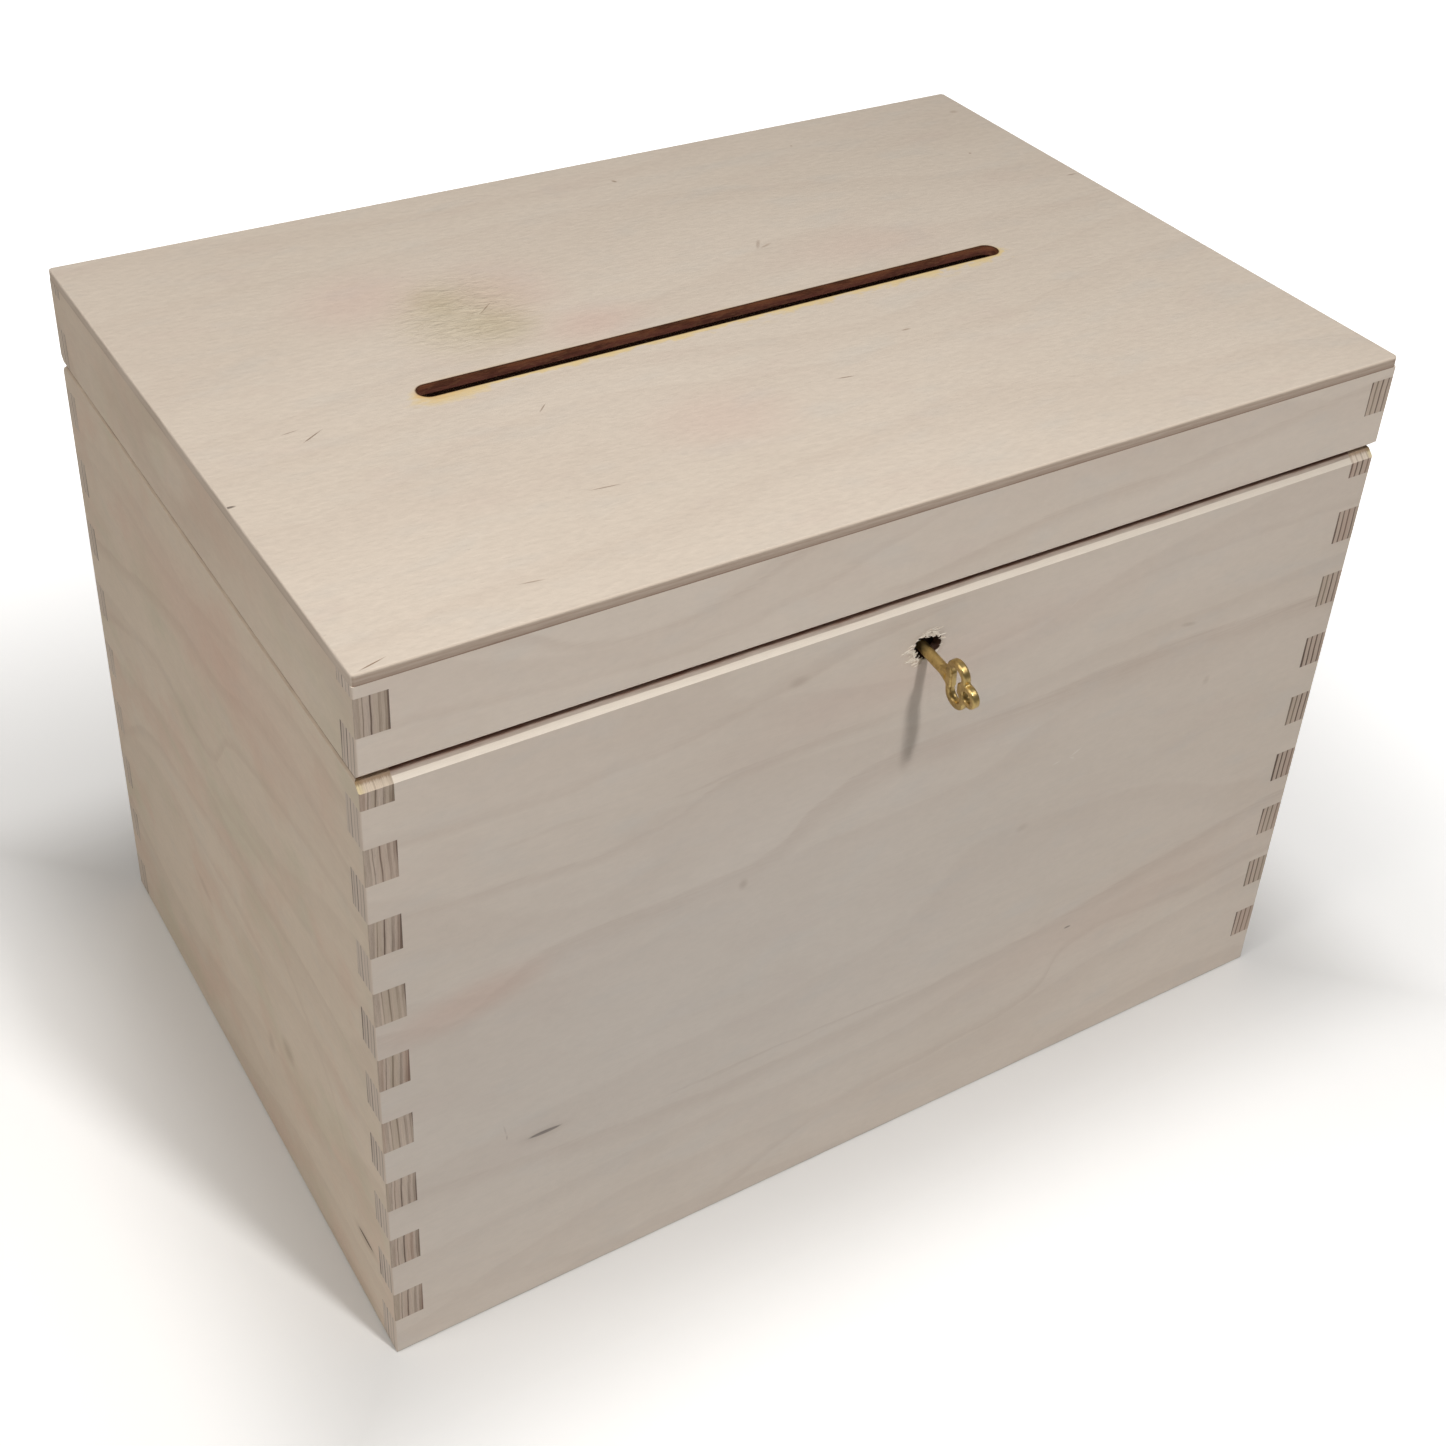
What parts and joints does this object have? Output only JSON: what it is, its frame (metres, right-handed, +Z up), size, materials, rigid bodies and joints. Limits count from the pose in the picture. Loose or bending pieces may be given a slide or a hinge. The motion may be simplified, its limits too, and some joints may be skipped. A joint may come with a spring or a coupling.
{
  "type": "letter box",
  "caption": "Finger-jointed plywood letter box with a long slot in its hinged lid, a small mortised box lock in the front and a brass key in the keyhole.",
  "frame": {"origin": "centre of the box's underside, on the surface it stands on", "axes": "+X to the right along the front (the longest side), +Y from the front with the keyhole to the back with the hinges, +Z up"},
  "size_m": [0.3, 0.2266, 0.2234],
  "materials": {
    "plywood": "bare sanded birch plywood",
    "key_brass": "cast, tumbled",
    "plate_brass": "satin plated",
    "screw_brass": "plated",
    "lock_steel": "plain"
  },
  "bodies": {
    "box": {"front_panel": "plywood", "back_panel": "plywood", "left_panel": "plywood", "right_panel": "plywood", "bottom_panel": "plywood", "lock_plate": "plate_brass", "lock_case": "lock_steel", "lock_key_pin": "lock_steel", "lock_guide_posts": "lock_steel", "lock_spring": "lock_steel", "lock_screws": "screw_brass", "hinge_lower_leaf_left": "plate_brass", "hinge_lower_leaf_right": "plate_brass", "hinge_pin_left": "plate_brass", "hinge_pin_right": "plate_brass", "hinge_lower_screws": "screw_brass"},
    "lid": {"lid_top_panel": "plywood", "lid_front_rail": "plywood", "lid_back_rail": "plywood", "lid_left_rail": "plywood", "lid_right_rail": "plywood", "lid_hook_plate": "plate_brass", "hook_plate_screws": "screw_brass", "hinge_upper_leaf_left": "plate_brass", "hinge_upper_leaf_right": "plate_brass", "hinge_upper_screws": "screw_brass"},
    "key": {"key": "key_brass"},
    "bolt": {"lock_bolt": "lock_steel"}
  },
  "joints": [
    {"name": "lid_hinge", "type": "hinge", "parent": "box", "child": "lid", "pos_m": [0, 0.1001, 0.1949], "axis": [-1, 0, 0], "range_deg": [0, 96]},
    {"name": "key_turn", "type": "hinge", "parent": "box", "child": "key", "pos_m": [-0.001, -0.1025, 0.1785], "axis": [0, 0.9932, 0.1167], "range_deg": [0, 60]},
    {"name": "bolt_throw", "type": "slide", "parent": "box", "child": "bolt", "axis": [1, 0, 0], "range_m": [0, 0.0036]}
  ],
  "couplings": [
    {"joint": "key_turn", "follows": "bolt_throw", "rad_per_m": 290.88}
  ]
}
